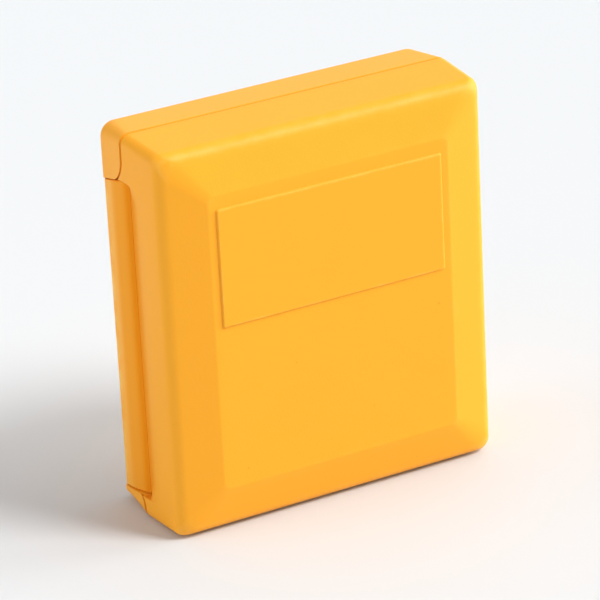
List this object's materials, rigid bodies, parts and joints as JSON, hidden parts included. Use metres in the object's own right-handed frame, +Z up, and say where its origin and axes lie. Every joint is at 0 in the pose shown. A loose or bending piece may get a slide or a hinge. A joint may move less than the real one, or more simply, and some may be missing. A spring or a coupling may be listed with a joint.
{
  "type": "blade storage case",
  "caption": "Small amber plastic pocket case for tool blades, with a deep bevelled front cover, a bare label panel and a folding hinge strap.",
  "frame": {"origin": "middle of the footprint of the shut, standing case, on the surface that it stands on", "axes": "+X to the right as seen from the front, +Y from the front cover to the back, +Z up along the case height"},
  "size_m": [0.0856, 0.033, 0.096],
  "materials": {
    "amber_plastic": "satin",
    "amber_strap": "satin",
    "charcoal_plastic": "satin"
  },
  "bodies": {
    "back_shell": {"back_shell": "amber_plastic", "blade_rail_lower": "charcoal_plastic", "blade_rail_upper": "charcoal_plastic"},
    "hinge_strap": {"hinge_strap": "amber_strap"},
    "front_cover": {"front_cover": "amber_plastic"}
  },
  "joints": [
    {"name": "strap_fold", "type": "hinge", "parent": "back_shell", "child": "hinge_strap", "pos_m": [-0.04093, 0.01543, 0.0448], "axis": [0, 0, -1], "range_deg": [0, 85]},
    {"name": "cover_fold", "type": "hinge", "parent": "hinge_strap", "child": "front_cover", "pos_m": [-0.04075, 0.00265, 0.0448], "axis": [0, 0, -1], "range_deg": [0, 85]}
  ],
  "couplings": [
    {"joint": "cover_fold", "follows": "strap_fold", "ratio": 1}
  ]
}
